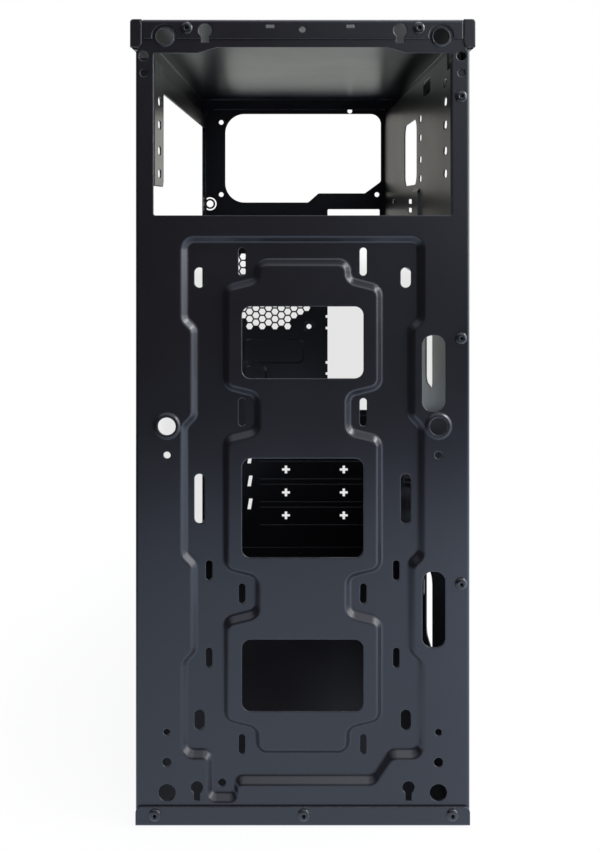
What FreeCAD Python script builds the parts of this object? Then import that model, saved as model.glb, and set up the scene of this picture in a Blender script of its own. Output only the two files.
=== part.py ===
import FreeCAD, Part
import math
import os

V = FreeCAD.Vector

os.makedirs("parts", exist_ok=True)

# The chassis stands on z = 0, its front faces -Y, and x = 0, y = 0 is the middle of its base.
# Every size is in millimetres.

# Sheet
sheet = 0.8                 # thickness of every panel
fold_radius = 0.8           # inside radius of a fold
edge_gap = 0.2              # air left beside a cut edge
corner_relief = 3.0         # how far a flange stops short of the corner of two folds
corner_share = 0.3          # cut corner of a tray slot, as a share of its width
past = 1.0                  # how far a cut runs past the sheet
touching = 1e-6             # points nearer than this are one

# Body
bay_half_width = 75.4       # half of the drive bay opening
side_border = 9.1           # front panel left standing beside the bay
body_depth = 290.0
body_height = 407.0
roof_overhang = 2.5         # roof past the front panel's sides, over the side panels' edges
overhang_drop = 14.0        # height of that overhang
rail_drop = 27.0            # roof to the lower edge of the side rails
base_rail_height = 22.0
side_flange_depth = 14.0    # side flanges of the front and rear panels
top_flange_height = 9.8     # front flange of the roof
base_flange_height = 10.1   # front flange of the base
rear_lap_height = 9.0       # roof and base flanges behind the rear panel
lap_width = 6.9             # flanges of the tray and the bay bracket
tab_corner = 2.2            # rounded corners of the roof's end tabs
tab_gap = 0.6               # between a tab and the flange beside it
base_corner = 3.0           # upper corners of the base's front flange

# Drive bay opening in the front panel
bay_top_drop = 14.0         # roof to the opening
bay_height = 84.9
bay_shoulder_drop = 2.9     # the opening's top is lower beside its middle
bay_middle_half = 43.0
bay_shoulder_run = 9.9
bay_corner = 1.0

# Pressed relief of the front panel
press_depth = 3.0
press_shape = ((0.5, 0.0), (0.3, 0.12), (-0.3, 0.88), (-0.5, 1.0))   # share of the run, share of the depth
plain_shape = ((0.5, 0.0), (-0.5, 1.0))
press_run = 3.8             # width of the sloping wall, seen from the front
press_corner = 5.0
recess_top_gap = 12.2       # bay opening to the recess
recess_half = 60.0
waist_half = 55.0           # narrower beside the cable slots
waist_margin = 3.0          # past the ends of a cable slot
jog = 5.0                   # a 45 degree step
recess_low = 35.2
foot_left = -47.2           # the recess runs on down at the left
foot_right = -33.6
foot_low = 13.2
foot_corner = 3.4
sill_low = 21.9
sill_right = 36.0
sill_slope = 9.0
island_half = 38.9
neck_half = 22.9
neck_margin = 11.4          # above and below a small-drive slot
island_top_gap = 11.5       # recess top to the island
island_low = 36.4
island_slope = 4.0          # rise of the step from neck to full width

# Fan, small-drive and large-drive slots of the front panel
fan_spacing = 105.0
fan_size = 120.0
fan_slot = (5.2, 10.3)      # width, length
fan_middle_fall = 1.65      # the two fans' shared middle, below the middle of the recess
ssd_spacing = (61.72, 76.6)
ssd_slot_top = (3.6, 14.3)
ssd_slot_low = (3.3, 10.2)
ssd_top_drop = 160.8        # roof to the middle of the upper drive's pattern
ssd_low_height = 77.4
hdd_spacing = (95.25, 44.45)
hdd_slot = (3.3, 10.2)
hdd_height = 105.3

# Windows and cable slots of the front panel
window_half = 30.7
low_window = (57.6, 94.0)
middle_window_fall = 5.27   # below the middle of the recess
middle_window_height = 50.2
high_window_drops = (144.9, 181.3)
window_corner = 4.5
cable_slot_left = 60.4
cable_slot_right = 72.0
cable_slot_length = 38.3
low_cable_slot = 89.9
high_cable_slot_gap = 7.4   # above the bosses
cable_slot_corner = 5.0

# Bosses, holes and notches of the front panel
boss_x = 68.5
boss_drop = 205.2           # roof to the bosses
boss_hole = 4.5
boss_ring = 6.8
boss_rise = 1.0
under_boss_drop = 14.8
under_boss_hole = 1.8
foot_holes = ((47.2, 1.75), (32.0, 2.35), (16.7, 4.35))    # height, radius
key_x = 53.4
key_height = 19.4
key_radius = 3.1
key_slot = 3.2
key_drop = 6.9
foot_hole_x = -41.0
foot_hole = 2.0
top_hole_x = 69.8
top_hole_drop = 8.7         # below the roof
top_hole = 4.2
top_collar = 5.2
top_notch = 6.2             # cut in the roof's flange round that collar
top_key_x = 49.2
top_key_drop = 5.6
top_key_radius = 3.4
top_key_slot = 3.8
top_key_length = 5.9
middle_hole = 1.5
middle_hole_drop = 5.2
lance_x = (-16.3, 24.3)
lance_drop = 3.5
lance_size = (4.0, 1.6)
border_holes = ((18.3, 2.5), (27.0, 1.9))                  # below the roof, radius
border_hole_x = 80.2
hook_notch_reach = 9.0
hook_notch_drops = (272.1, 136.7)
hook_notch_length = 11.6
hook_notch_corner = 1.5

# Rivets
rivet_shank = 1.6
rivet_fit = 0.05            # between shank and hole
rivet_sides = 10
rivet_head = 3.1
rivet_rise = 1.0
rivet_dome = ((1.0, 0.0), (0.9, 0.6), (0.5, 1.0))          # shares of the head's radius and rise
rivet_eye = 1.0             # hole that the drawn pin leaves
rivet_tail = 2.3
rivet_tail_length = 1.6
rivet_tail_taper = 0.8
top_rivet_x = 58.5
top_rivet_drop = 4.6
side_rivet_x = 79.9
side_rivet_drops = (284.8, 160.9, 38.8)
base_rivet_x = (-74.5, 0.5, 75.4)
base_rivet_height = 6.1
rear_top_rivet_x = 77.5

# Rear panel: power supply, ports, fan and cards
psu_holes = ((-69.3, 85.0), (68.7, 85.0), (-69.3, 21.0), (44.7, 11.0))   # x, below the roof
psu_hole = 2.1
psu_left = -65.7
psu_right = 72.2
psu_top_drop = 13.6
psu_low_drop = 92.0
psu_step_x = 7.8
psu_step_run = 9.1
psu_step_rise = 8.1
psu_shoulder_x = 58.0
psu_shoulder_rise = 18.5
psu_corner = 17.0
psu_small_corner = 9.0
psu_step_corner = 3.0
lock_x = -79.2
lock_drop = 93.2
lock_hole = 3.0
lock_ring = 5.8
lock_ring_width = 1.2
vent_strip_drop = 102.0
vent_strip_height = 8.0
port_left = 25.0
port_right = 71.1
port_top_drop = 115.9
port_height = 160.0
port_corner = 1.0
fan_grille_x = -27.3
fan_grille_drop = 166.0
fan_grille_half = 38.6
fan_grille_corner = 18.0
rear_fan_spacing = 71.5
rear_fan_hole = 2.2
hex_flats = 5.3
hex_pitch = 6.5
rear_fan_ring = 5.2         # raised round each fan screw
rear_fan_rise = 1.0
field_left = -49.0          # two shallow pressed fields under the fan grille
field_rights = (3.2, -29.4)
field_spans = ((213.1, 233.9), (236.9, 258.0))             # below the roof
field_depth = 1.2
field_corner = 5.0
port_nick_drops = (193.0, 203.3, 233.8, 243.7)
port_nick = (1.7, 2.4)      # reach, height
card_count = 5
card_pitch = 20.32
card_top_drop = 288.1
card_left = -40.0
card_right = 68.0
card_cover_height = 15.6
card_score = (0.9, 0.35)    # width and depth of the scored line round a cover
card_bridge = 5.0
card_key_x = (-11.9, 39.35)
card_key_size = (7.0, 2.2)
card_end_height = 9.6
card_end_width = 3.0
card_end_lean = 1.6

# Board tray and bay bracket
tray_top_drop = 13.6
drive_slot_drops = (39.5, 51.5, 65.2, 77.2)
extra_slot_drop = 29.7
drive_slot_depths = (16.5, 95.75)
drive_slot = (9.0, 4.2)
bay_window_depths = (110.0, 164.0)
bay_window_drops = (37.5, 80.5)
bay_window_corner = 8.0
lance_hole_depths = (60.0, 84.0)
lance_hole_drops = (19.0, 28.0)
lance_hole_corner = 2.0
cooler_window_backs = (62.0, 162.0)                        # from the rear panel
cooler_window_drops = (139.0, 237.0)
cooler_window_corner = 10.0
tray_cable_depths = (54.0, 76.0)
low_tray_cable = (55.0, 99.0)
high_tray_cable_drops = (162.0, 200.0)
tray_cable_corner = 5.0
tie_slot = (18.0, 3.0)
tie_slot_places = ((138.0, 91.5), (138.0, 97.5), (223.0, 91.5))   # depth, below the roof
small_slot_depth = 83.0
small_slot_height = 80.0
small_slot = (5.0, 12.0)     # along the depth, height
board_drop = 112.0          # roof to the board's top edge
board_gap = 2.0             # rear panel to the board's rear edge
board_columns = (6.35, 163.83)
board_rows = (10.16, 165.1, 210.82)
stand_height = 6.35
stand_base = 6.0
stand_top = 3.6
stand_hole = 1.45
tray_relief_depths = (96.0, 122.0)
tray_relief_drops = (84.0, 104.0)
tray_relief_rise = 1.5
tray_relief_run = 2.0
tray_relief_corner = 3.0
bracket_depth = 27.0
bracket_top_drop = 19.0
bracket_low_drop = 84.0
bracket_corner = 4.0

# Derived places
body_half = bay_half_width + side_border
roof_half = body_half + roof_overhang
front_y = -body_depth / 2
rear_y = body_depth / 2
plate_front = front_y + sheet           # outer face of the front panel
plate_back = plate_front + sheet
rear_inner = rear_y - sheet             # inner face of the rear panel
rear_lap = rear_inner - sheet
roof_under = body_height - sheet
rail_outer = body_half - sheet          # outer face of the roof's and the base's side rails
overhang_low = body_height - overhang_drop
rail_low = body_height - rail_drop
bay_top = body_height - bay_top_drop
bay_low = bay_top - bay_height
recess_top = bay_low - recess_top_gap
boss_height = body_height - boss_drop
ssd_top_height = body_height - ssd_top_drop
recess_middle = (recess_low + recess_top) / 2
fan_middle_height = recess_middle - fan_middle_fall
hook_notch_heights = [body_height - drop for drop in hook_notch_drops]
cable_slot_lows = (low_cable_slot, boss_height + high_cable_slot_gap)
cable_slot_spans = [(low, low + cable_slot_length) for low in cable_slot_lows]
middle_window = recess_middle - middle_window_fall
window_spans = [low_window,
                (middle_window - middle_window_height / 2, middle_window + middle_window_height / 2),
                (body_height - high_window_drops[1], body_height - high_window_drops[0])]
tray_cable_spans = [low_tray_cable,
                    (body_height - high_tray_cable_drops[1], body_height - high_tray_cable_drops[0])]
tray_x = bay_half_width - sheet / 2     # inner face of the tray
tray_top = body_height - tray_top_drop
flange_end = tray_x + sheet + lap_width
half_sheet = sheet / 2
side_rivets = [(side_rivet_x, body_height - drop) for drop in side_rivet_drops]
base_rivets = [(x, base_rivet_height) for x in base_rivet_x]
front_top_rivets = [(x, body_height - top_rivet_drop) for x in (-top_rivet_x, top_rivet_x)]
rear_top_rivets = [(x, body_height - rear_lap_height) for x in (-rear_top_rivet_x, rear_top_rivet_x)]

turns = {
    "front": FreeCAD.Rotation(V(1, 0, 0), V(0, 0, 1), V(0, -1, 0), "XYZ"),
    "side": FreeCAD.Rotation(V(0, 1, 0), V(0, 0, 1), V(1, 0, 0), "XYZ"),
    "top": FreeCAD.Rotation(),
}
normals = {"front": V(0, 1, 0), "side": V(1, 0, 0), "top": V(0, 0, 1)}


def laid(shape, plane, at):
    """A flat shape drawn in u, v, laid on one of the three planes."""
    placed = shape.copy()
    placed.Placement = FreeCAD.Placement(normals[plane] * at, turns[plane])
    return placed


def prism(wire, plane, start, end):
    """A straight solid over an outline, between two stations along the plane's normal."""
    return Part.Face(laid(wire, plane, start)).extrude(normals[plane] * (end - start))


def block(x0, x1, y0, y1, z0, z1):
    return Part.makeBox(x1 - x0, y1 - y0, z1 - z0, V(x0, y0, z0))


def corner_arc(before, corner, after, radius):
    """The two tangent points and the middle of the arc that rounds a corner."""
    back = (before - corner).normalize()
    ahead = (after - corner).normalize()
    half_angle = math.acos(max(-1.0, min(1.0, back.dot(ahead)))) / 2
    run = radius / math.tan(half_angle)
    middle = (back + ahead).normalize()
    reach = radius / math.sin(half_angle) - radius
    return corner + back * run, corner + middle * reach, corner + ahead * run


def outline(points, radius, grow=0.0):
    """A closed outline with rounded corners, its points anticlockwise, grown outwards by an amount."""
    count = len(points)
    radii = radius if isinstance(radius, (list, tuple)) else [radius] * count
    corners = [V(u, v, 0) for u, v in points]
    ways = [(corners[(i + 1) % count] - corners[i]).normalize() for i in range(count)]
    moved = []
    bends = []
    for i in range(count):
        first, second = ways[i - 1], ways[i]
        outward = V(first.y + second.y, -first.x - second.x, 0)
        moved.append(corners[i] + outward * (grow / (1 + first.dot(second))))
        convex = first.x * second.y - first.y * second.x > 0
        bends.append(radii[i] + (grow if convex else -grow))
    arcs = [corner_arc(moved[i - 1], moved[i], moved[(i + 1) % count], bends[i]) for i in range(count)]
    edges = []
    for i in range(count):
        start, middle, end = arcs[i]
        following = arcs[(i + 1) % count][0]
        edges.append(Part.Arc(start, middle, end).toShape())
        if end.distanceToPoint(following) > touching:
            edges.append(Part.LineSegment(end, following).toShape())
    return Part.Wire(edges)


def rectangle(u0, u1, v0, v1, radius):
    return outline([(u0, v0), (u1, v0), (u1, v1), (u0, v1)], radius)


def slot(u, v, width, length):
    """A slot that stands along v."""
    return rectangle(u - width / 2, u + width / 2, v - length / 2, v + length / 2, width / 2)


def level_slot(u, v, length, width):
    return rectangle(u - length / 2, u + length / 2, v - width / 2, v + width / 2, width / 2)


def circle(u, v, radius):
    return Part.Wire(Part.makeCircle(radius, V(u, v, 0)))


def polygon(points):
    corners = [V(u, v, 0) for u, v in points]
    return Part.makePolygon(corners + corners[:1])


def regular(u, v, radius, sides):
    """Straight sides inside a circle, the first corner to the right."""
    angles = [2 * math.pi * i / sides for i in range(sides)]
    return polygon([(u + radius * math.cos(a), v + radius * math.sin(a)) for a in angles])


def hexagon(u, v, flats):
    return regular(u, v, flats / math.sqrt(3), 6)


def cut_corners(u, v, length, width):
    """A slot with its corners cut off at 45 degrees."""
    cut = min(length, width) * corner_share
    across, up = length / 2, width / 2
    half = [(across, -up + cut), (across, up - cut), (across - cut, up), (cut - across, up)]
    return polygon([(u + x, v + z) for x, z in half] + [(u - x, v - z) for x, z in half])


def cross(u, v, length, width):
    """A plus sign."""
    long, short = length / 2, width / 2
    arm = [(long, -short), (long, short), (short, short), (short, long), (-short, long), (-short, short)]
    return polygon([(u + x, v + z) for x, z in arm] + [(u - x, v - z) for x, z in arm])


def plain(u, v, length, height):
    across, up = length / 2, height / 2
    return polygon([(u - across, v - up), (u + across, v - up), (u + across, v + up), (u - across, v + up)])


def punched(panel, wires, plane, start, end):
    """The panel with an opening for each outline."""
    return panel.cut([prism(wire, plane, start, end) for wire in wires])


def pressed(panel, draw, plane, face, depth, run, shape=plain_shape):
    """Sheet pushed out by a depth from one of its faces. draw gives the outline for any growth."""
    sections = [laid(draw(run * share), plane, face + depth * rise) for share, rise in shape]
    boss = Part.makeLoft(sections, True, True)
    hollow = boss.copy()
    hollow.translate(normals[plane] * -math.copysign(sheet, depth))
    return panel.fuse(boss).cut(hollow)


def pressed_round(panel, u, v, radius, plane, face, depth, run):
    return pressed(panel, lambda grow: circle(u, v, radius - run / 2 + grow), plane, face, depth, run)


def strip(points, plane, start, end):
    """Folded sheet: the middle line of its section in u, v, and its ends along the plane's normal."""
    line = [V(u, v, 0) for u, v in points]
    ways = [(b - a).normalize() for a, b in zip(line, line[1:])]
    sides = [V(-way.y, way.x, 0) for way in ways]
    edges = []
    tips = []
    for offset in (half_sheet, -half_sheet):
        last = line[0] + sides[0] * offset
        final = line[-1] + sides[-1] * offset
        tips.append((last, final))
        for i in range(1, len(ways)):
            left = ways[i - 1].x * ways[i].y - ways[i - 1].y * ways[i].x > 0
            radius = fold_radius + half_sheet + (-offset if left else offset)
            corner = line[i] + (sides[i - 1] + sides[i]) * (offset / (1 + ways[i - 1].dot(ways[i])))
            begin, middle, finish = corner_arc(corner - ways[i - 1], corner, corner + ways[i], radius)
            edges.append(Part.LineSegment(last, begin).toShape())
            edges.append(Part.Arc(begin, middle, finish).toShape())
            last = finish
        edges.append(Part.LineSegment(last, final).toShape())
    edges.append(Part.LineSegment(tips[0][1], tips[1][1]).toShape())
    edges.append(Part.LineSegment(tips[1][0], tips[0][0]).toShape())
    return prism(Part.Wire(Part.__sortEdges__(edges)), plane, start, end)


def growing(u0, u1, v0, v1, radius):
    """Draws a rounded rectangle for any growth."""
    return lambda grow: rectangle(u0 - grow, u1 + grow, v0 - grow, v1 + grow, radius + grow)


def both_sides(xs):
    return [side * x for x in xs for side in (-1, 1)]


def rivet_holes(places):
    """Holes under the rivet heads, with as few sides as the rivets."""
    return [regular(x, z, rivet_shank + rivet_fit, rivet_sides) for x, z in places]


def front_recess(grow):
    """The sunk field of the front panel: narrow beside the cable slots, with a foot at the lower left."""
    side = []
    for low, high in cable_slot_spans:
        side.append((recess_half, low - waist_margin - jog))
        side.append((waist_half, low - waist_margin))
        side.append((waist_half, high + waist_margin))
        side.append((recess_half, high + waist_margin + jog))
    right = [(recess_half, recess_low)] + side + [(recess_half, recess_top)]
    left = [(-half, z) for half, z in reversed(right)]
    foot = [(foot_left, recess_low), (foot_left, foot_low), (foot_right, foot_low), (foot_right, sill_low)]
    sill = [(sill_right, sill_low), (sill_right + sill_slope, recess_low)]
    radii = [press_corner] * (len(right) + len(left)) + [foot_corner] * len(foot) + [press_corner] * len(sill)
    return outline(right + left + foot + sill, radii, grow)


def front_island(grow):
    """The raised middle of that field, narrow beside the small-drive slots."""
    rows = [centre + half * ssd_spacing[1]
            for centre in (ssd_low_height, ssd_top_height) for half in (-0.5, 0.5)]
    right = [(neck_half, island_low)]
    for below, above in zip(rows, rows[1:]):
        low, high = below + neck_margin, above - neck_margin
        right.append((neck_half, low - island_slope / 2))
        right.append((island_half, low + island_slope / 2))
        right.append((island_half, high - island_slope / 2))
        right.append((neck_half, high + island_slope / 2))
    right.append((neck_half, recess_top - island_top_gap))
    left = [(-half, z) for half, z in reversed(right)]
    return outline(right + left, press_corner, grow)


def bay_opening():
    shoulder = bay_middle_half + bay_shoulder_run
    low_top = bay_top - bay_shoulder_drop
    top = [(bay_half_width, low_top), (shoulder, low_top), (bay_middle_half, bay_top)]
    mirrored = [(-x, z) for x, z in reversed(top)]
    floor = [(-bay_half_width, bay_low), (bay_half_width, bay_low)]
    return outline(floor + top + mirrored, bay_corner)


def key_outlines(x, z, radius, width, drop):
    """A round entry with a narrow slot that runs down from it."""
    return [circle(x, z, radius), plain(x, z - drop / 2, width, drop)]


def flange_openings():
    """What passes through the roof's front flange and the front panel behind it."""
    openings = rivet_holes(front_top_rivets)
    for x in both_sides([top_key_x]):
        openings += key_outlines(x, body_height - top_key_drop, top_key_radius, top_key_slot, top_key_length)
    openings.append(circle(0, body_height - middle_hole_drop, middle_hole))
    openings += [plain(x, body_height - lance_drop, *lance_size) for x in lance_x]
    return openings


def front_panel():
    rear_edge = plate_front + side_flange_depth
    edge = body_half - half_sheet
    middle = plate_front + half_sheet
    section = [(-edge, rear_edge), (-edge, middle), (edge, middle), (edge, rear_edge)]
    panel = strip(section, "top", sheet + fold_radius, roof_under - fold_radius)
    shoulder = overhang_low - sheet - fold_radius - edge_gap
    for side in (-1, 1):
        inner = rail_outer - sheet - edge_gap
        x0, x1 = sorted((side * inner, side * (body_half + past)))
        panel = panel.cut(block(x0, x1, plate_front - past, rear_edge + past, shoulder, body_height))
    sunk = plate_front + press_depth
    panel = pressed(panel, front_recess, "front", plate_back, press_depth, press_run, press_shape)
    panel = pressed(panel, front_island, "front", sunk, -press_depth, press_run, press_shape)
    for x in both_sides([boss_x]):
        panel = pressed_round(panel, x, boss_height, boss_ring, "front", plate_front, -boss_rise, boss_rise)
    top_hole_height = body_height - top_hole_drop
    for x in both_sides([top_hole_x]):
        panel = pressed_round(panel, x, top_hole_height, top_collar, "front", plate_front, -sheet, sheet)

    openings = [bay_opening()]
    for low, high in window_spans:
        openings.append(rectangle(-window_half, window_half, low, high, window_corner))
    for low, high in cable_slot_spans:
        openings.append(rectangle(cable_slot_left, cable_slot_right, low, high, cable_slot_corner))
    fan_reach = (fan_size + fan_spacing) / 2
    for x in both_sides([fan_spacing / 2]):
        for z in (fan_middle_height - fan_reach, fan_middle_height + fan_reach):
            openings.append(slot(x, z, *fan_slot))
        middle_length = fan_slot[1] + fan_size - fan_spacing
        openings.append(slot(x, fan_middle_height, fan_slot[0], middle_length))
    drives = ((ssd_spacing, ssd_top_height, ssd_slot_top), (ssd_spacing, ssd_low_height, ssd_slot_low),
              (hdd_spacing, hdd_height, hdd_slot))
    for spacing, height, size in drives:
        for x in both_sides([spacing[0] / 2]):
            openings += [slot(x, height + half * spacing[1], *size) for half in (-0.5, 0.5)]
    for x in both_sides([boss_x]):
        openings.append(circle(x, boss_height, boss_hole))
        openings.append(circle(x, boss_height - under_boss_drop, under_boss_hole))
        openings += [circle(x, z, radius) for z, radius in foot_holes]
    for x in both_sides([key_x]):
        openings += key_outlines(x, key_height, key_radius, key_slot, key_drop)
    openings.append(circle(foot_hole_x, key_height, foot_hole))
    openings += [circle(x, top_hole_height, top_hole) for x in both_sides([top_hole_x])]
    for x in both_sides([border_hole_x]):
        openings += [circle(x, body_height - drop, radius) for drop, radius in border_holes]
    openings += rivet_holes(side_rivets)
    openings += rivet_holes(base_rivets)
    openings += flange_openings()
    panel = punched(panel, openings, "front", front_y - past, plate_back + press_depth + past)

    hooks = []
    hook_start = plate_back + fold_radius
    for z in hook_notch_heights:
        low, high = z - hook_notch_length / 2, z + hook_notch_length / 2
        hooks.append(rectangle(hook_start, plate_front + hook_notch_reach, low, high, hook_notch_corner))
    panel = punched(panel, hooks, "side", -body_half - past, -rail_outer + edge_gap)
    return punched(panel, hooks, "side", rail_outer - edge_gap, body_half + past)


def top_panel():
    roof_middle = body_height - half_sheet
    wall = roof_half - half_sheet
    rail = rail_outer - half_sheet
    ledge = overhang_low - half_sheet
    right = [(wall, roof_middle), (wall, ledge), (rail, ledge), (rail, rail_low)]
    section = [(-x, z) for x, z in reversed(right)] + right
    fold_start, fold_end = front_y + corner_relief, rear_inner - corner_relief
    panel = strip(section, "front", fold_start, fold_end)
    flange_half = rail_outer - corner_relief
    tab_inner = flange_half + tab_gap

    front_flange = [(front_y + half_sheet, body_height - top_flange_height),
                    (front_y + half_sheet, roof_middle), (fold_start, roof_middle)]
    rear_flange = [(fold_end, roof_middle), (rear_inner - half_sheet, roof_middle),
                   (rear_inner - half_sheet, roof_under - rear_lap_height)]
    flanges = (front_flange, rear_flange)
    panel = panel.fuse([strip(flange, "side", -flange_half, flange_half) for flange in flanges])
    for side in (-1, 1):
        fold = [(side * wall, overhang_low), (side * wall, roof_middle), (side * tab_inner, roof_middle)]
        x0, x1 = sorted((side * tab_inner, side * (roof_half - edge_gap)))
        tab = rectangle(x0, x1, overhang_low, roof_middle, tab_corner)
        panel = panel.fuse([strip(fold, "front", front_y, fold_start),
                            strip(fold, "front", fold_end, rear_inner),
                            prism(tab, "front", front_y, plate_front),
                            prism(tab, "front", rear_lap, rear_inner)])
    notches = [circle(x, body_height - top_hole_drop, top_notch) for x in both_sides([top_hole_x])]
    panel = punched(panel, notches + flange_openings(), "front", front_y - past, plate_front + edge_gap)
    return punched(panel, rivet_holes(rear_top_rivets), "front", rear_lap - past, rear_y)


def bottom_panel():
    rail = rail_outer - half_sheet
    section = [(-rail, base_rail_height), (-rail, half_sheet), (rail, half_sheet), (rail, base_rail_height)]
    fold_start, fold_end = front_y + corner_relief, rear_inner - corner_relief
    panel = strip(section, "front", fold_start, fold_end)
    front_flange = [(fold_start, half_sheet), (front_y + half_sheet, half_sheet),
                    (front_y + half_sheet, base_flange_height)]
    rear_flange = [(rear_inner - half_sheet, sheet + rear_lap_height), (rear_inner - half_sheet, half_sheet),
                   (fold_end, half_sheet)]
    front_half = body_half - edge_gap
    rear_half = rail_outer - corner_relief
    panel = panel.fuse([strip(front_flange, "side", -front_half, front_half),
                        strip(rear_flange, "side", -rear_half, rear_half)])
    face = rectangle(-front_half, front_half, -base_flange_height, base_flange_height, base_corner)
    spare = block(-front_half - past, front_half + past, front_y - past, plate_front,
                  sheet + fold_radius, base_flange_height + past)
    panel = panel.cut(spare.cut(prism(face, "front", front_y - 2 * past, plate_front + past)))
    return punched(panel, rivet_holes(base_rivets), "front", front_y - past, rear_y)


def grille_holes():
    """Hexagons in staggered columns, as many as fit the grille's cut-cornered square."""
    centre = body_height - fan_grille_drop
    column = hex_pitch * math.sqrt(3) / 2
    reach = fan_grille_half - hex_flats / 2
    holes = []
    for i in range(-int(reach / column), int(reach / column) + 1):
        shift = hex_pitch / 2 if i % 2 else 0.0
        count = int((reach + shift) / hex_pitch)
        for k in range(-count, count + 1):
            u, v = i * column, k * hex_pitch + shift
            if abs(v) <= reach and abs(u) + abs(v) <= 2 * reach - fan_grille_corner:
                holes.append(hexagon(fan_grille_x + u, centre + v, hex_flats))
    return holes


def supply_opening():
    low = body_height - psu_low_drop
    step = low + psu_step_rise
    points = [(psu_left, low), (psu_step_x, low), (psu_step_x + psu_step_run, step), (psu_shoulder_x, step),
              (psu_right, low + psu_shoulder_rise), (psu_right, body_height - psu_top_drop),
              (psu_left, body_height - psu_top_drop)]
    return outline(points, [psu_corner] + 4 * [psu_step_corner] + [psu_small_corner, psu_corner])


def card_places():
    first = body_height - card_top_drop
    return [first - i * card_pitch for i in range(card_count)]


def card_scores():
    """Scored lines round the knock-out covers."""
    width = card_score[0]
    middle = (card_left + card_right) / 2
    length = card_right - card_left - 2 * card_bridge
    scores = []
    for z in card_places():
        for side in (-0.5, 0.5):
            scores.append(plain(middle, z + side * card_cover_height, length, width))
        scores.append(plain(card_right, z, width, card_cover_height - card_bridge))
    return scores


def card_openings():
    """Cross-shaped keys of the covers and the leaning finger gaps beside them."""
    openings = []
    for i, z in enumerate(card_places()):
        openings += [cross(x, z, *card_key_size) for x in card_key_x]
        if i:
            low, high = z + (card_pitch - card_end_height) / 2, z + (card_pitch + card_end_height) / 2
            right = card_left - card_end_width / 2
            left = right - card_end_width
            gap = [(left - card_end_lean, low), (right - card_end_lean, low), (right, high), (left, high)]
            openings.append(polygon(gap))
    return openings


def rear_panel():
    front_edge = rear_y - side_flange_depth
    edge = body_half - half_sheet
    middle = rear_y - half_sheet
    section = [(edge, front_edge), (edge, middle), (-edge, middle), (-edge, front_edge)]
    panel = strip(section, "top", 0, body_height)
    shoulder = overhang_low - sheet - fold_radius - edge_gap
    for side in (-1, 1):
        inner = rail_outer - sheet - edge_gap
        x0, x1 = sorted((side * inner, side * (body_half + past)))
        panel = panel.cut(block(x0, x1, front_edge - past, rear_inner, shoulder, body_height + past))
    for right, (upper, lower) in zip(field_rights, field_spans):
        field = growing(field_left, right, body_height - lower, body_height - upper, field_corner)
        panel = pressed(panel, field, "front", rear_inner, -field_depth, field_depth)
    centre = body_height - fan_grille_drop
    fan_screws = [(fan_grille_x + x, centre + z) for x in both_sides([rear_fan_spacing / 2])
                  for z in both_sides([rear_fan_spacing / 2])]
    for x, z in fan_screws:
        panel = pressed_round(panel, x, z, rear_fan_ring, "front", rear_inner, -rear_fan_rise, rear_fan_rise)
    strip_middle = body_height - vent_strip_drop
    port_top = body_height - port_top_drop
    spans = ((strip_middle - vent_strip_height / 2, strip_middle + vent_strip_height / 2),
             (port_top - port_height, port_top))
    openings = [supply_opening()]
    openings += [rectangle(port_left, port_right, *span, port_corner) for span in spans]
    openings += [circle(x, body_height - drop, psu_hole) for x, drop in psu_holes]
    openings += [circle(x, z, rear_fan_hole) for x, z in fan_screws]
    reach, height = port_nick
    openings += [plain(port_left, body_height - drop, 2 * reach, height) for drop in port_nick_drops]
    openings.append(circle(lock_x, body_height - lock_drop, lock_hole))
    openings += rivet_holes(side_rivets)
    openings += rivet_holes(base_rivets)
    openings += rivet_holes(rear_top_rivets)
    near, far = rear_inner - field_depth - past, rear_y + past
    panel = punched(panel, openings + card_openings() + grille_holes(), "front", near, far)
    panel = punched(panel, card_scores(), "front", rear_inner - past, rear_inner + card_score[1])
    lock_z = body_height - lock_drop
    core = prism(circle(lock_x, lock_z, lock_ring - lock_ring_width), "front", near, far)
    ring = prism(circle(lock_x, lock_z, lock_ring), "front", near, far).cut(core)
    return panel.cut(ring.cut(block(-roof_half, lock_x - lock_hole, 0, far, 0, body_height)))


def stand_places():
    """Places of the board's screws along the depth and up the tray."""
    rear_column = rear_inner - board_gap
    top = body_height - board_drop
    return [(rear_column - column, top - row) for column in board_columns for row in board_rows]


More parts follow.
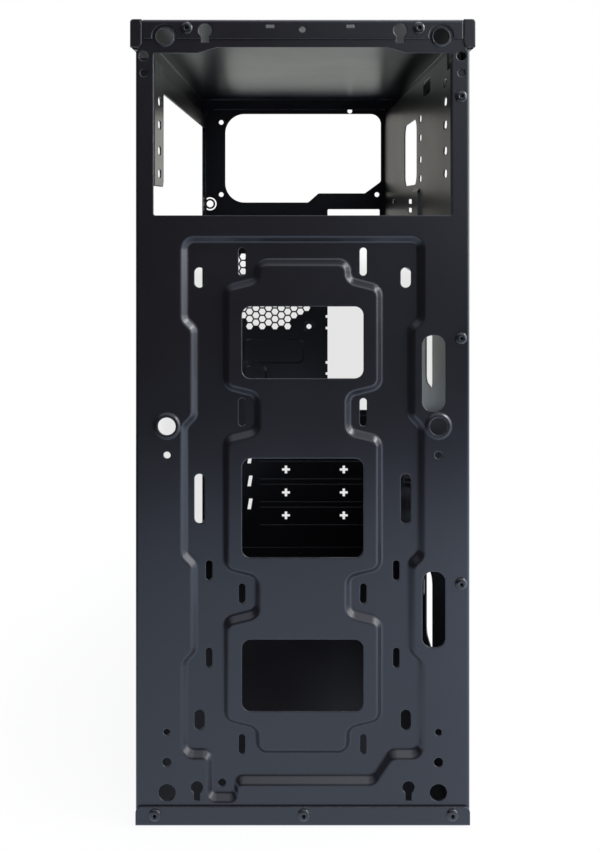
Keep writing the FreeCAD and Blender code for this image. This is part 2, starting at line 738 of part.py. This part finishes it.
def motherboard_tray():
    middle = tray_x + half_sheet
    rows = [(flange_end, plate_back + half_sheet), (middle, plate_back + half_sheet),
            (middle, rear_inner - half_sheet), (flange_end, rear_inner - half_sheet)]
    low = base_flange_height + 2 * corner_relief
    high = rail_low + corner_relief
    wall = strip(rows, "top", low, high)
    rail_inner = rail_outer - sheet - half_sheet
    hat = [(rail_inner, rail_low), (rail_inner, tray_top - half_sheet), (middle, tray_top - half_sheet),
           (middle, sheet + half_sheet), (rail_outer - sheet - fold_radius - edge_gap, sheet + half_sheet)]
    end_gap = side_flange_depth - corner_relief
    tray = wall.fuse(strip(hat, "front", front_y + end_gap, rear_y - end_gap))
    for y, z in stand_places():
        tray = pressed_round(tray, y, z, stand_base, "side", tray_x, -stand_height, stand_base - stand_top)
    near, far = [front_y + depth for depth in tray_relief_depths]
    upper, lower = [body_height - drop for drop in tray_relief_drops]
    relief = growing(near, far, lower, upper, tray_relief_corner)
    tray = pressed(tray, relief, "side", tray_x, -tray_relief_rise, tray_relief_run)

    openings = []
    for depth in drive_slot_depths:
        column = front_y + depth
        openings += [level_slot(column, body_height - drop, *drive_slot) for drop in drive_slot_drops]
    openings.append(level_slot(front_y + drive_slot_depths[0], body_height - extra_slot_drop, *drive_slot))
    windows = ((bay_window_depths, bay_window_drops, bay_window_corner),
               (lance_hole_depths, lance_hole_drops, lance_hole_corner))
    for depths, drops, corner in windows:
        near, far = [front_y + depth for depth in depths]
        upper, lower = [body_height - drop for drop in drops]
        openings.append(rectangle(near, far, lower, upper, corner))
    near, far = [rear_y - back for back in reversed(cooler_window_backs)]
    upper, lower = [body_height - drop for drop in cooler_window_drops]
    openings.append(rectangle(near, far, lower, upper, cooler_window_corner))
    near, far = [front_y + depth for depth in tray_cable_depths]
    openings += [rectangle(near, far, *span, tray_cable_corner) for span in tray_cable_spans]
    openings += [cut_corners(front_y + depth, body_height - drop, *tie_slot)
                 for depth, drop in tie_slot_places]
    openings.append(cut_corners(front_y + small_slot_depth, small_slot_height, *small_slot))
    openings += [circle(y, z, stand_hole) for y, z in stand_places()]
    tray = punched(tray, openings, "side", tray_x - stand_height - past, tray_x + sheet + past)
    return punched(tray, rivet_holes(side_rivets), "front", front_y, rear_y)


def drive_bay_bracket():
    middle = tray_x + half_sheet
    front = plate_back + half_sheet
    rows = [(-flange_end, front), (-middle, front), (-middle, plate_back + bracket_depth)]
    low, high = body_height - bracket_low_drop, body_height - bracket_top_drop
    bracket = strip(rows, "top", low, high)
    near, far = plate_back - bracket_depth, plate_back + bracket_depth
    start, end = -middle - 2 * past, -middle + 2 * past
    spare = block(-middle - past, -middle + past, plate_back + 2 * sheet, far + past, low - past, high + past)
    keep = prism(rectangle(near, far, low, high, bracket_corner), "side", start, end)
    bracket = bracket.cut(spare.cut(keep))
    column = front_y + drive_slot_depths[0]
    slots = [level_slot(column, body_height - drop, *drive_slot) for drop in drive_slot_drops]
    return punched(bracket, slots, "side", start, end)


def rivet(x, face, z, inward):
    """A blind rivet: domed head with the drawn pin's hole, shank through two sheets, swollen tail."""
    stack = 2 * sheet
    tail_end = stack + rivet_tail_length
    dome = [(rivet_head * share, -rivet_rise * rise) for share, rise in rivet_dome]
    stages = ((dome[0], dome[1]), (dome[1], dome[2]), ((rivet_shank, 0), (rivet_shank, stack)),
              ((rivet_tail, stack), (rivet_tail * rivet_tail_taper, tail_end)))
    body = None
    for sections in stages:
        rings = [laid(regular(x, z, radius, rivet_sides), "front", face + inward * depth)
                 for radius, depth in sections]
        stage = Part.makeLoft(rings, True, True)
        body = stage if body is None else body.fuse(stage)
    eye = prism(regular(x, z, rivet_eye, rivet_sides), "front", face - inward * (rivet_rise + past), face)
    return body.cut(eye)


def rivets(places, face, inward):
    return Part.makeCompound([rivet(x, face, z, inward) for x, z in places])


nodes = {
    "front_panel": front_panel(),
    "top_panel": top_panel(),
    "bottom_panel": bottom_panel(),
    "rear_panel": rear_panel(),
    "motherboard_tray": motherboard_tray(),
    "drive_bay_bracket": drive_bay_bracket(),
    "front_top_rivets": rivets(front_top_rivets, front_y, 1),
    "front_side_rivets": rivets(side_rivets, plate_front, 1),
    "front_base_rivets": rivets(base_rivets, front_y, 1),
    "rear_top_rivets": rivets(rear_top_rivets, rear_y, -1),
    "rear_side_rivets": rivets(side_rivets, rear_y, -1),
    "rear_base_rivets": rivets(base_rivets, rear_y, -1),
}

for name, shape in nodes.items():
    shape.exportStep("parts/" + name + ".step")
    print(name, "valid", shape.isValid(), "solids", len(shape.Solids), "faces", len(shape.Faces))
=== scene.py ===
import math

import bpy
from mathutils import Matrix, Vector


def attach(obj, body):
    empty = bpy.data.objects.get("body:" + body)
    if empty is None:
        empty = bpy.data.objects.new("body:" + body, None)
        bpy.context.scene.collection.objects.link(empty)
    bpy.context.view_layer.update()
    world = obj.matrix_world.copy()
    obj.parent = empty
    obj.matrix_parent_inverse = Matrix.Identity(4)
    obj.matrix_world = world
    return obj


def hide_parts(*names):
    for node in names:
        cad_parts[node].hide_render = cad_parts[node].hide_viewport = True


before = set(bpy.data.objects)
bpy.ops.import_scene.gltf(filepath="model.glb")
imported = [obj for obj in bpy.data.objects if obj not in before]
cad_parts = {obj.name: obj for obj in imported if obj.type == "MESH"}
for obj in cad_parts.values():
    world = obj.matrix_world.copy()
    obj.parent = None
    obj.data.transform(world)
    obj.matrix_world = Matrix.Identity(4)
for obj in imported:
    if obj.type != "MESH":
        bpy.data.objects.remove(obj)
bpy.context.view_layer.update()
print("frame loaded:", len(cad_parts), "nodes")


class Wire:  # an output socket that takes part in formulas
    def __init__(self, shade, out):
        self.shade = shade
        self.out = out

    def __add__(self, other):
        return self.shade.maths("ADD", self, other)

    def __radd__(self, other):
        return self.shade.maths("ADD", other, self)

    def __sub__(self, other):
        return self.shade.maths("SUBTRACT", self, other)

    def __rsub__(self, other):
        return self.shade.maths("SUBTRACT", other, self)

    def __mul__(self, other):
        return self.shade.maths("MULTIPLY", self, other)

    def __rmul__(self, other):
        return self.shade.maths("MULTIPLY", other, self)


class Shade:  # the nodes of one material or world
    def __init__(self, tree):
        tree.nodes.clear()
        self.tree = tree

    def node(self, kind, settings, sockets):
        made = self.tree.nodes.new(kind)
        for name, value in settings.items():
            setattr(made, name, value)
        for name, value in sockets.items():
            if isinstance(value, Wire):
                self.tree.links.new(value.out, made.inputs[name])
            else:
                made.inputs[name].default_value = value
        return made

    def out(self, kind, settings, sockets, name):
        return Wire(self, self.node(kind, settings, sockets).outputs[name])

    def maths(self, operation, a, b):
        return self.out("ShaderNodeMath", {"operation": operation}, {0: a, 1: b}, "Value")

    def ramp(self, value, low, high, toLow=0.0, toHigh=1.0):  # smooth step from low to high
        settings = {"interpolation_type": "SMOOTHSTEP"}
        sockets = {"Value": value, "From Min": low, "From Max": high, "To Min": toLow, "To Max": toHigh}
        return self.out("ShaderNodeMapRange", settings, sockets, "Result")

    def noise(self, place, scale, detail=2.0, rough=0.5):
        sockets = {"Vector": place, "Scale": scale, "Detail": detail, "Roughness": rough}
        return self.out("ShaderNodeTexNoise", {}, sockets, "Fac")

    def tone(self, factor, first, second):  # sockets 6 and 7 take the colours, output 2 gives their mix
        first, second = [value if isinstance(value, Wire) else (*value, 1.0) for value in (first, second)]
        sockets = {"Factor": factor, 6: first, 7: second}
        return self.out("ShaderNodeMix", {"data_type": "RGBA"}, sockets, 2)

    def rounded(self, radius, samples):
        return self.out("ShaderNodeBevel", {"samples": samples}, {"Radius": radius}, "Normal")

    def bump(self, height, distance, under=None):
        sockets = {"Strength": 1.0, "Distance": distance, "Height": height}
        if under:
            sockets["Normal"] = under
        return self.out("ShaderNodeBump", {}, sockets, "Normal")

    def coordinates(self, name):
        return self.out("ShaderNodeTexCoord", {}, {}, name)

    def axes(self, place):
        parts = self.node("ShaderNodeSeparateXYZ", {}, {"Vector": place})
        return [Wire(self, parts.outputs[axis]) for axis in ("X", "Y", "Z")]

    def rays(self, *kinds):
        path = self.node("ShaderNodeLightPath", {}, {})
        return [Wire(self, path.outputs[kind]) for kind in kinds]


def newMaterial(name):
    material = bpy.data.materials.new(name)
    material.use_nodes = True
    return material, Shade(material.node_tree)


def setMaterial(piece, material):
    piece.data.materials.clear()
    piece.data.materials.append(material)


blackCoat = {
    "panels": ("front_panel", "top_panel", "bottom_panel", "rear_panel", "motherboard_tray",
               "drive_bay_bracket"),
    "deep": (0.0070, 0.0060, 0.0080),    # colour where the coat is thick
    "thin": (0.0098, 0.0086, 0.0112),
    "cloudScale": 22.0,                  # uneven thickness, per metre
    "cloudDetail": 4.0,
    "cloudRough": 0.6,
    "gloss": (0.275, 0.305),             # roughness, least and most
    "glossSpan": (0.3, 0.7),             # the part of the cloud over which it rises
    "shineLevel": 0.60,
    "shineTint": (0.93, 0.96, 1.0),
    "peelScale": 1500.0,                 # orange peel, per metre
    "peelDetail": 1.0,
    "peelHeight": 0.000012,
    "waveScale": 9.0,                    # slow waves of rolled sheet
    "waveDetail": 1.0,
    "waveHeight": 0.00005,
    "bendRound": 0.0009,                 # rounding of pressed bends and edges, in the shine
    "bendSamples": 10,
    "edgeRound": 0.0004,                 # the narrower band of an edge where the coat wears and a highlight is painted
    "edgeSamples": 6,
    "edgeSpan": (0.02, 0.22),            # how sharply the sheet must turn there
    "rubSpan": (0.30, 0.65),             # which specks of that band take the rubbed coat and the painted highlight
    "edgeWearAndHighlight": (0.125, 0.127, 0.130),   # coat rubbed thin on an edge, made lighter still as a painted edge highlight
}


def makeBlackCoat(look):
    material, shade = newMaterial("blackCoat")
    place = shade.coordinates("Object")
    cloud = shade.noise(place, look["cloudScale"], look["cloudDetail"], look["cloudRough"])
    speck = shade.noise(place, look["peelScale"], look["peelDetail"])
    wave = shade.noise(place, look["waveScale"], look["waveDetail"])

    edge = shade.rounded(look["edgeRound"], look["edgeSamples"])
    flat = shade.out("ShaderNodeNewGeometry", {}, {}, "Normal")
    match = shade.out("ShaderNodeVectorMath", {"operation": "DOT_PRODUCT"}, {0: edge, 1: flat}, "Value")
    # where edges get the lighter tone: partly rubbed coat, partly a painted edge highlight
    wearAndHighlight = shade.ramp(1 - match, *look["edgeSpan"]) * shade.ramp(speck, *look["rubSpan"])
    coat = shade.tone(cloud, look["deep"], look["thin"])

    bend = shade.rounded(look["bendRound"], look["bendSamples"])
    waved = shade.bump(wave, look["waveHeight"], bend)
    surface = shade.out("ShaderNodeBsdfPrincipled", {}, {
        "Base Color": shade.tone(wearAndHighlight, coat, look["edgeWearAndHighlight"]),
        "Roughness": shade.ramp(cloud, *look["glossSpan"], *look["gloss"]),
        "Normal": shade.bump(speck, look["peelHeight"], waved),
        "Specular IOR Level": look["shineLevel"],
        "Specular Tint": (*look["shineTint"], 1.0)}, "BSDF")
    shade.node("ShaderNodeOutputMaterial", {}, {"Surface": surface})
    return material


coatMaterial = makeBlackCoat(blackCoat)
for name in blackCoat["panels"]:
    setMaterial(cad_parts[name], coatMaterial)
print("panels coated")


blackRivet = {
    "base": (0.007, 0.007, 0.009),
    "rubbed": (0.016, 0.017, 0.020),
    "cloudScale": 400.0,                 # patches of rubbed coat, per metre
    "rubSpan": (0.45, 0.75),
    "gloss": (0.20, 0.32),               # roughness, least and most
    "glossSpan": (0.3, 0.7),
    "grainScale": 2200.0,
    "grainHeight": 0.000008,
    "shineLevel": 0.5,
    "clearCoat": 0.2,
}


def makeBlackRivet(look):
    material, shade = newMaterial("blackRivet")
    place = shade.coordinates("Object")
    grain = shade.noise(place, look["grainScale"])
    cloud = shade.noise(place, look["cloudScale"])
    surface = shade.out("ShaderNodeBsdfPrincipled", {}, {
        "Base Color": shade.tone(shade.ramp(cloud, *look["rubSpan"]), look["base"], look["rubbed"]),
        "Roughness": shade.ramp(cloud, *look["glossSpan"], *look["gloss"]),
        "Normal": shade.bump(grain, look["grainHeight"]),
        "Specular IOR Level": look["shineLevel"],
        "Coat Weight": look["clearCoat"]}, "BSDF")
    shade.node("ShaderNodeOutputMaterial", {}, {"Surface": surface})
    return material


rivetMaterial = makeBlackRivet(blackRivet)
print("rivet finish made")


rivet = {
    "frontSeams": ("front_top_rivets", "front_side_rivets", "front_base_rivets"),
    "rearSeams": ("rear_top_rivets", "rear_side_rivets", "rear_base_rivets"),
    "head": 0.0031,                      # radius
    "rise": 0.0011,                      # height of the head
    "seated": 0.9,                       # share of the rise that lies within the solid rivet's length
    "eye": 0.0009,                       # radius of the hole that the drawn pin leaves
    "eyeDepth": 0.0016,
    "dome": ((1.0, 0.12), (0.97, 0.36), (0.86, 0.66), (0.68, 0.90), (0.52, 1.0)),  # shares of head, rise
    "rim": ((1.25, 0.97), (1.0, 0.84)),  # shares of eye, rise
    "sides": 48,
    "creaseAngle": 40,                   # degrees
    "weld": 0.000002,                    # points of the solid rivets nearer than this are one
}


def deselectAll():
    if bpy.context.object and bpy.context.object.mode != "OBJECT":
        bpy.ops.object.mode_set(mode="OBJECT")
    bpy.ops.object.select_all(action="DESELECT")


def linked(name, data):
    made = bpy.data.objects.new(name, data)
    bpy.context.scene.collection.objects.link(made)
    return made


def looseBoxes(piece, weld):  # the span of each loose part along x, y and z, from left to right
    deselectAll()
    copy = linked("looseParts", piece.data.copy())
    copy.select_set(True)
    bpy.context.view_layer.objects.active = copy
    bpy.ops.object.mode_set(mode="EDIT")
    bpy.ops.mesh.select_all(action="SELECT")
    bpy.ops.mesh.remove_doubles(threshold=weld)
    bpy.ops.mesh.separate(type="LOOSE")
    bpy.ops.object.mode_set(mode="OBJECT")
    boxes = []
    for part in list(bpy.context.selected_objects):
        points = [vertex.co for vertex in part.data.vertices]
        boxes.append([(min(p[i] for p in points), max(p[i] for p in points)) for i in range(3)])
        bpy.data.objects.remove(part)
    return sorted(boxes, key=lambda box: (round(box[0][0], 4), round(box[2][0], 4)))


def makeRivet(size):  # the head alone, up +Z, open underneath at z = 0
    deselectAll()
    head, rise, eye = size["head"], size["rise"], size["eye"]
    bpy.ops.mesh.primitive_circle_add(vertices=size["sides"], radius=head, location=(0, 0, 0))
    made = bpy.context.object
    bpy.ops.object.mode_set(mode="EDIT")
    bpy.ops.mesh.select_all(action="SELECT")
    rings = [(head * across, rise * up) for across, up in size["dome"]]
    rings += [(eye * across, rise * up) for across, up in size["rim"]]
    rings.append((eye, rise - size["eyeDepth"]))
    radius, height = head, 0.0
    for ringRadius, ringHeight in rings:
        bpy.ops.mesh.extrude_edges_move(TRANSFORM_OT_translate={"value": (0, 0, ringHeight - height)})
        share = ringRadius / radius
        bpy.ops.transform.resize(value=(share, share, 1))
        radius, height = ringRadius, ringHeight
    bpy.ops.mesh.edge_face_add()
    bpy.ops.mesh.select_all(action="SELECT")
    bpy.ops.mesh.normals_make_consistent(inside=False)
    bpy.ops.object.mode_set(mode="OBJECT")
    bpy.ops.object.shade_smooth_by_angle(angle=math.radians(size["creaseAngle"]))
    return made


def placeRivets(pattern, seam, faces, size):  # faces is -1 for heads to the front, 1 to the rear
    copies = []
    for across, along, up in looseBoxes(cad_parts[seam], size["weld"]):
        end = along[0] if faces < 0 else along[1]
        copy = linked(seam, pattern.data.copy())
        copy.rotation_euler = (math.radians(-90 * faces), 0, 0)
        copy.location = (sum(across) / 2, end - faces * size["rise"] * size["seated"], sum(up) / 2)
        copies.append(copy)
    deselectAll()
    for copy in copies:
        copy.select_set(True)
    bpy.context.view_layer.objects.active = copies[0]
    bpy.ops.object.join()
    bpy.ops.object.transform_apply(location=True, rotation=True, scale=True)
    joined = bpy.context.object
    first, *others = seam.split("_")
    joined.name = first + "".join(word.capitalize() for word in others)
    setMaterial(joined, rivetMaterial)
    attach(joined, "root")
    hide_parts(seam)


pattern = makeRivet(rivet)
for seam in rivet["frontSeams"]:
    placeRivets(pattern, seam, -1, rivet)
for seam in rivet["rearSeams"]:
    placeRivets(pattern, seam, 1, rivet)
bpy.data.objects.remove(pattern)
print("rivets placed")


floor = {
    "half": 6.0,
    "drop": 0.0004,                      # below the object's lowest face
    "white": (0.92, 0.92, 0.92),
    "backShade": 0.78,                   # tone of the long soft shadow behind the object
    "backSpread": 0.19,                  # how fast that shadow widens
    "backEdge": (0.08, 0.115),           # its soft side
    "backStart": (0.10, 0.20),
    "backEnd": (2.4, 4.5),
    "shadowShare": 0.09,                 # how much of a cast shadow the camera sees
    "shadowReach": (0.13, 0.26),         # that shadow fades out between these distances
    "paperEnd": (-0.75, -0.41),          # where the white paper ends in front, as the gloss sees it
    "paperSide": (-0.45, 0.0),           # and at the left
    "paperBack": (0.2, 0.5),             # behind this line it reaches the left too
    "paperRight": (0.04, 0.26),          # it is brighter towards the window
    "rightGain": 1.8,
    "roomTone": 0.05,                    # past its ends
    "nearTone": (0.84, 0.99, 1.24),      # the paper's painted glow, seen only in reflections, is bluish near the object
    "farSpan": (0.3, 1.0),               # and a little green far behind
    "farTone": (0.74, 0.78, 0.73),
}


def makeFloor(size):
    deselectAll()
    bpy.ops.mesh.primitive_plane_add(size=2 * size["half"], location=(0, 0, -size["drop"]))
    made = bpy.context.object
    made.name = "floor"
    material, shade = newMaterial("floorPaper")
    place = shade.coordinates("Object")
    across, ahead = shade.axes(place)[:2]
    direct, gloss, clear = shade.rays("Is Camera Ray", "Is Glossy Ray", "Is Transmission Ray")

    spread = shade.maths("ABSOLUTE", across, 0.0) - ahead * size["backSpread"]
    behind = (1 - shade.ramp(spread, *size["backEdge"])) * shade.ramp(ahead, *size["backStart"])
    behind = behind * (1 - shade.ramp(ahead, *size["backEnd"]))
    shaded = 1 - behind * (1 - size["backShade"])

    # what the gloss sees of the paper is a painted glow: full near the object, dim past its ends,
    # brighter at the right
    near = shade.ramp(ahead, *size["paperEnd"], size["roomTone"], 1.0)
    left = shade.ramp(across, *size["paperSide"], size["roomTone"], 1.0)
    side = shade.maths("MAXIMUM", left, shade.ramp(ahead, *size["paperBack"]))
    far = shade.ramp(ahead, *size["farSpan"])
    lit = shade.ramp(across, *size["paperRight"], 0.0, size["rightGain"] - 1) * (1 - far)
    bright = near * side * (1 + lit)

    mirrored = shade.tone(far, size["nearTone"], size["farTone"])
    tint = shade.tone(gloss, (1.0, 1.0, 1.0), mirrored)
    level = direct * shaded + clear + gloss * bright
    glow = shade.out("ShaderNodeEmission", {}, {"Color": tint, "Strength": level}, "Emission")
    paper = shade.out("ShaderNodeBsdfDiffuse", {}, {"Color": (*size["white"], 1.0)}, "BSDF")
    away = shade.out("ShaderNodeVectorMath", {"operation": "LENGTH"}, {0: place}, "Value")
    lasting = shade.ramp(away, *size["shadowReach"], 1 - size["shadowShare"], 1.0)
    share = (direct + gloss + clear) * lasting
    surface = shade.out("ShaderNodeMixShader", {}, {0: share, 1: paper, 2: glow}, "Shader")
    shade.node("ShaderNodeOutputMaterial", {}, {"Surface": surface})
    setMaterial(made, material)


makeFloor(floor)
print("floor laid")


room = {
    "frontTone": 0.04,                   # the dim room that the front faces
    "backSpan": (-0.45, 0.30),           # from dim front to white back, along the direction's y
    "backTone": 0.66,
    "backCeiling": (0.15, 0.45),         # the bright back ends at this height
    "leftSpan": (-0.30, 0.05),           # and is dimmer at the left
    "leftShare": 0.45,
    "rightSpan": (-0.02, 0.36),          # a bright right side
    "rightTone": 0.95,
    "topSpan": (0.35, 0.85),             # a bright ceiling
    "topTone": 0.95,
    "topEnd": (-0.2, 0.4),               # it fades towards the back
    "topFade": 0.55,
    "topTint": (0.90, 0.96, 1.10),
    "backTint": (1.0, 0.975, 0.905),     # the low back is warmer
    "tintSpan": (0.3, 0.9),
}


def makeWorld(look):
    world = bpy.data.worlds.new("studio")
    bpy.context.scene.world = world
    world.use_nodes = True
    shade = Shade(world.node_tree)
    x, y, z = shade.axes(shade.coordinates("Generated"))
    under = 1 - shade.ramp(z, *look["backCeiling"])
    left = shade.ramp(x, *look["leftSpan"], look["leftShare"], 1.0)
    back = shade.ramp(y, *look["backSpan"]) * left * under
    right = shade.ramp(x, *look["rightSpan"], 0.0, look["rightTone"])
    fade = 1 - shade.ramp(y, *look["topEnd"]) * look["topFade"]
    top = shade.ramp(z, *look["topSpan"], 0.0, look["topTone"]) * fade
    level = look["frontTone"] + back * (look["backTone"] - look["frontTone"]) + right + top
    level = shade.maths("MINIMUM", level, 1.0)
    tint = shade.tone(shade.ramp(y, *look["tintSpan"]) * under, look["topTint"], look["backTint"])
    seen = shade.rays("Is Camera Ray")[0]
    walls = shade.out("ShaderNodeBackground", {}, {"Color": tint, "Strength": level}, "Background")
    white = shade.out("ShaderNodeBackground", {}, {"Color": (1, 1, 1, 1), "Strength": 1.0}, "Background")
    surface = shade.out("ShaderNodeMixShader", {}, {0: seen, 1: walls, 2: white}, "Shader")
    shade.node("ShaderNodeOutputWorld", {}, {"Surface": surface})


lamps = (
    {"name": "windowLamp", "at": (1.7, -0.55, 0.7), "aim": (0, 0, 0.25), "side": 1.7, "watts": 33.0},
    {"name": "highLamp", "at": (1.6, -0.25, 1.4), "aim": (0, 0, 0.25), "side": 0.7, "watts": 22.0},
    {"name": "topLamp", "at": (0.2, 0.5, 1.9), "aim": (0, 0, 0.1), "side": 1.0, "watts": 12.0},
    {"name": "frontLamp", "at": (0.35, -1.3, 1.35), "aim": (0, 0, 0.15), "side": 0.8, "watts": 1.8},
)


def makeLamp(look):
    data = bpy.data.lights.new(look["name"], "AREA")
    data.shape = "SQUARE"
    data.size = look["side"]
    data.energy = look["watts"]
    lamp = linked(look["name"], data)
    lamp.location = look["at"]
    way = Vector(look["aim"]) - Vector(look["at"])
    lamp.rotation_euler = way.to_track_quat("-Z", "Y").to_euler()


makeWorld(room)
for look in lamps:
    makeLamp(look)
bpy.context.scene.view_settings.view_transform = "Standard"
print("light set")


camera = {
    "photo": (600, 850),                 # pixels
    "at": (-0.0039, -0.5258, 0.3141),
    "axis": (295.0, 203.5),              # the pixel straight ahead of the lens
    "focal": 756.0,                      # in pixels
    "sensor": 36.0,                      # millimetres
}


def makeCamera(look):
    wide, high = look["photo"]
    data = bpy.data.cameras.new("camera")
    data.sensor_width = look["sensor"]
    data.lens = look["focal"] * look["sensor"] / high
    data.shift_x = (wide / 2 - look["axis"][0]) / high
    data.shift_y = (look["axis"][1] - high / 2) / high
    made = linked("camera", data)
    made.location = look["at"]
    made.rotation_euler = (math.radians(90), 0, 0)
    bpy.context.scene.camera = made


makeCamera(camera)
print("camera set")
